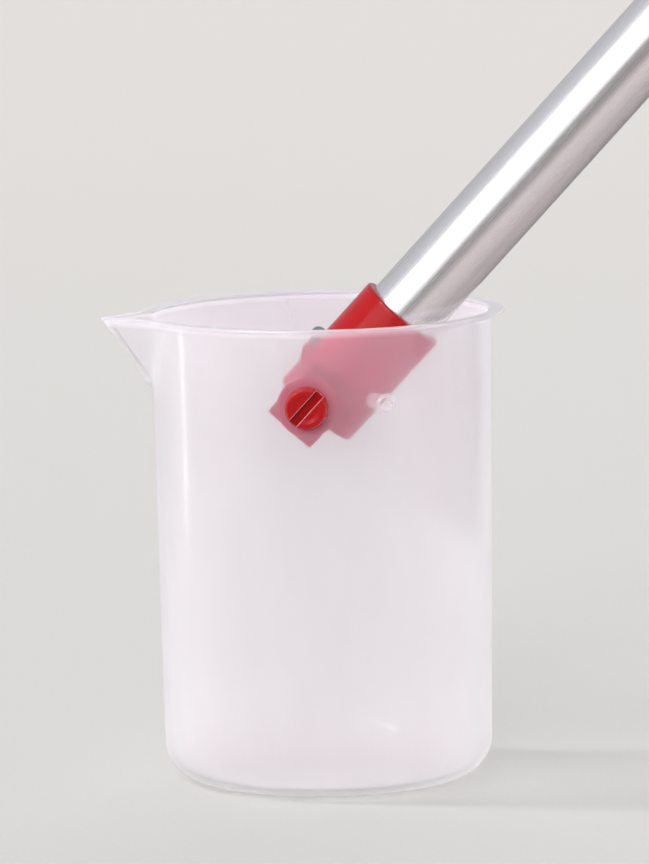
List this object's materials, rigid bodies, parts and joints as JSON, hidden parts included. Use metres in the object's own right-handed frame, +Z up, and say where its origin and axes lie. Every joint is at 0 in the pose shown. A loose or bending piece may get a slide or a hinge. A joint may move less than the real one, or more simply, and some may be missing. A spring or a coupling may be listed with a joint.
{
  "type": "adjustable-angle sampling beaker",
  "caption": "Translucent spouted beaker hinged by a slotted clamp screw to a bracket on a telescopic pole, for dipping and pouring liquid samples.",
  "frame": {"origin": "centre of the beaker's base, on the surface it stands on", "axes": "+Z up along the beaker's axis; the clamp screw is on the -Y side; the pole leans towards +X in a plane parallel to XZ; the spout is near -X"},
  "size_m": [0.627, 0.1124, 0.7239],
  "materials": {
    "translucent_polypropylene": "milky translucent, faint lilac, soft gloss",
    "clear_plastic": "clear, glossy",
    "clear_seal": "translucent soft plastic",
    "red_plastic": "moulded, glossy, saturated red",
    "brass_insert": "machined",
    "spring_steel": "plain spring steel",
    "button_steel": "polished dome",
    "anodised_aluminium": "satin, drawn along the tube",
    "dark_plastic": "fine moulded grain",
    "white_plastic": "plain moulded",
    "grip_rubber": "matt soft grip"
  },
  "bodies": {
    "beaker": {"beaker": "translucent_polypropylene", "stop_peg": "clear_plastic", "head_seal": "clear_seal", "saddle_washer": "red_plastic"},
    "arm": {"bracket": "red_plastic", "threaded_insert": "brass_insert", "friction_washer": "white_plastic", "foot_plug": "white_plastic", "button_spring": "spring_steel", "lower_tube": "anodised_aluminium", "guide_bush": "white_plastic"},
    "clamp_screw": {"pivot_screw": "red_plastic"},
    "button": {"snap_button": "button_steel"},
    "handle": {"upper_tube": "anodised_aluminium", "collar": "red_plastic", "collar_rivets": "anodised_aluminium", "collet": "white_plastic", "grip_sleeve": "grip_rubber", "end_cap": "red_plastic"},
    "lock": {"lock_ring": "red_plastic", "wiper_ring": "dark_plastic"}
  },
  "joints": [
    {"name": "beaker_tilt", "type": "hinge", "parent": "beaker", "child": "arm", "pos_m": [0, -0.05, 0.1208], "axis": [0, -1, 0], "range_deg": [0, 90]},
    {"name": "clamp_screw_turn", "type": "hinge", "parent": "arm", "child": "clamp_screw", "pos_m": [0, -0.05, 0.1208], "axis": [0, -1, 0], "range_deg": [0, 360]},
    {"name": "snap_button_press", "type": "slide", "parent": "arm", "child": "button", "axis": [0.7349, 0, -0.6782], "range_m": [0, 0.0055], "stiffness_N_per_m": 900, "springref_m": -0.003, "deforming": ["button_spring"]},
    {"name": "pole_extend", "type": "slide", "parent": "arm", "child": "handle", "axis": [0.6782, 0, 0.7349], "range_m": [-0.114, 0.427]},
    {"name": "lock_ring_turn", "type": "hinge", "parent": "handle", "child": "lock", "pos_m": [0.12273, -0.0265, 0.24975], "axis": [0.6782, 0, 0.7349], "range_deg": [-120, 0]}
  ]
}
